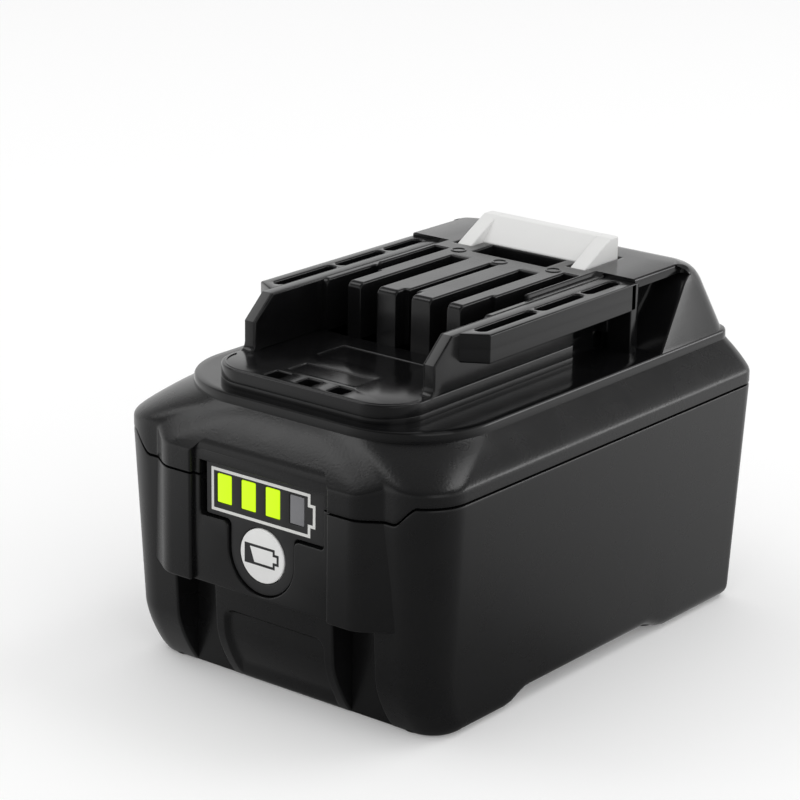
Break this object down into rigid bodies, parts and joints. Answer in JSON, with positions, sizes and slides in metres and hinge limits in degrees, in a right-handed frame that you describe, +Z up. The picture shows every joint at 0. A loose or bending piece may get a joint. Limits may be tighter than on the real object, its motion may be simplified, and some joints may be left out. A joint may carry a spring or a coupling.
{
  "type": "power tool battery pack",
  "caption": "Slide-on battery pack for a cordless tool, with slotted rail flanges, terminal comb, sprung latch hook and a lit charge gauge with its push button.",
  "frame": {"origin": "middle of the pack's outline on the plane it stands on", "axes": "+Z up towards the rails, -Y towards the gauge end, +Y towards the latch end, X across the rails"},
  "size_m": [0.065, 0.092, 0.0637],
  "materials": {
    "tub_black": "satin moulded plastic",
    "lid_black": "fine-textured moulded plastic, smoother on ledge and tower",
    "latch_white": "smooth",
    "release_black": "satin",
    "gauge_dark": "smooth",
    "light_on": "lit yellow-green",
    "light_off": "unlit grey",
    "button_white": "satin",
    "board_green": "solder mask",
    "lamp_cream": "smooth",
    "part_black": "satin",
    "ribbon_grey": "satin",
    "cell_sleeve": "shrink sleeve over a metal can",
    "ring_paper": "paper",
    "holder_grey": "satin",
    "nickel": "bright strip",
    "contact_brass": "bright",
    "screw_steel": "zinc plated",
    "sheet_cream": "barley paper",
    "bead_green": "coated bead"
  },
  "bodies": {
    "case": {"lower_case": "tub_black", "upper_case": "lid_black", "latch_springs": "nickel", "latch_cradle": "part_black", "cradle_screws": "screw_steel", "gauge_panel": "gauge_dark", "lit_light_bars": "light_on", "unlit_light_bar": "light_off", "gauge_board": "board_green", "gauge_leds": "lamp_cream", "gauge_switch": "part_black", "gauge_ribbon": "ribbon_grey", "cell_1": "cell_sleeve", "cell_2": "cell_sleeve", "cell_3": "cell_sleeve", "cell_4": "cell_sleeve", "cell_5": "cell_sleeve", "cell_6": "cell_sleeve", "cell_rings": "ring_paper", "holder_front": "holder_grey", "holder_rear": "holder_grey", "positive_strap": "nickel", "negative_strap": "nickel", "front_link_strap": "nickel", "rear_link_strap": "nickel", "main_board": "board_green", "board_screws": "screw_steel", "positive_terminal": "contact_brass", "negative_terminal": "contact_brass", "signal_terminals": "contact_brass", "power_transistors": "part_black", "controller_chip": "part_black", "thermistor": "bead_green", "insulation_sheet": "sheet_cream", "case_screws": "screw_steel"},
    "latch": {"latch_hook": "latch_white", "release_button": "release_black"},
    "gauge_key": {"gauge_button": "button_white"}
  },
  "joints": [
    {"name": "latch_slide", "type": "slide", "parent": "case", "child": "latch", "axis": [0, 0, -1], "range_m": [0, 0.0045], "stiffness_N_per_m": 1600, "springref_m": -0.0025, "deforming": ["latch_springs"]},
    {"name": "gauge_key_push", "type": "slide", "parent": "case", "child": "gauge_key", "axis": [0, 1, 0], "range_m": [0, 0.0004], "stiffness_N_per_m": 3000, "springref_m": -0.0002}
  ]
}
